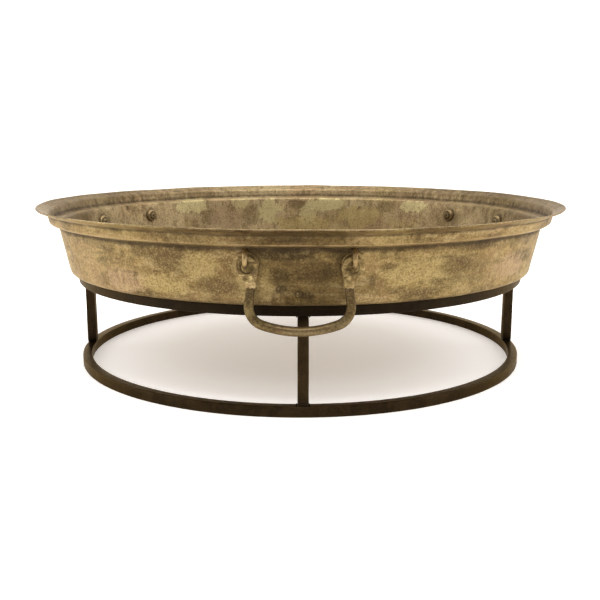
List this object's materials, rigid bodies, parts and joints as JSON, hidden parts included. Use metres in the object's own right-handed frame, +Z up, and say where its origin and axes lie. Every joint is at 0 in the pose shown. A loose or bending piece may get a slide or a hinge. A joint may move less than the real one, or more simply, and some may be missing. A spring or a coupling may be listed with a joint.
{
  "type": "fire pit with grate",
  "caption": "Low round fire pit: a sheet bowl with a flared rim and swinging drop handles, loose on a ring stand with legs, with a loose bar grate inside.",
  "frame": {"origin": "on the ground, at the centre of the stand and bowl", "axes": "+Z up, the front handle towards -Y, +X to the right seen from the front"},
  "size_m": [1.14, 1.14, 0.3417],
  "materials": {
    "bronze": "aged satin patina",
    "iron": "dark brown oiled satin",
    "grate_iron": "burnt matte"
  },
  "bodies": {
    "stand": {"stand_bottom_ring": "iron", "stand_top_ring": "iron", "leg_front": "iron", "leg_right": "iron", "leg_back": "iron", "leg_left": "iron", "weld_beads_bottom": "iron", "weld_beads_top": "iron"},
    "bowl": {"bowl": "bronze", "wall_rivet": "bronze", "lug_front_left": "bronze", "lug_front_right": "bronze", "lug_plates_front": "bronze", "lug_washers_front": "bronze", "lug_rear_right_left": "bronze", "lug_rear_right_right": "bronze", "lug_plates_rear_right": "bronze", "lug_washers_rear_right": "bronze", "lug_rear_left_left": "bronze", "lug_rear_left_right": "bronze", "lug_plates_rear_left": "bronze", "lug_washers_rear_left": "bronze"},
    "grate": {"grate_ring": "grate_iron", "grate_bars": "grate_iron", "grate_cross_bars": "grate_iron", "grate_feet": "grate_iron"},
    "handle_front": {"handle_rod_front": "bronze", "handle_eye_front_left": "bronze", "handle_eye_front_right": "bronze"},
    "handle_rear_right": {"handle_rod_rear_right": "bronze", "handle_eye_rear_right_left": "bronze", "handle_eye_rear_right_right": "bronze"},
    "handle_rear_left": {"handle_rod_rear_left": "bronze", "handle_eye_rear_left_left": "bronze", "handle_eye_rear_left_right": "bronze"}
  },
  "joints": [
    {"name": "bowl_lift", "type": "slide", "parent": "stand", "child": "bowl", "axis": [0, 0, 1], "range_m": [0, 0.25]},
    {"name": "grate_lift", "type": "slide", "parent": "bowl", "child": "grate", "axis": [0, 0, 1], "range_m": [0, 0.3]},
    {"name": "handle_front_swing", "type": "hinge", "parent": "bowl", "child": "handle_front", "pos_m": [0, -0.525, 0.2885], "axis": [-1, 0, 0], "range_deg": [-8, 120]},
    {"name": "handle_rear_right_swing", "type": "hinge", "parent": "bowl", "child": "handle_rear_right", "pos_m": [0.45466, 0.2625, 0.2885], "axis": [0.5, -0.866, 0], "range_deg": [-8, 120]},
    {"name": "handle_rear_left_swing", "type": "hinge", "parent": "bowl", "child": "handle_rear_left", "pos_m": [-0.45466, 0.2625, 0.2885], "axis": [0.5, 0.866, 0], "range_deg": [-8, 120]}
  ]
}
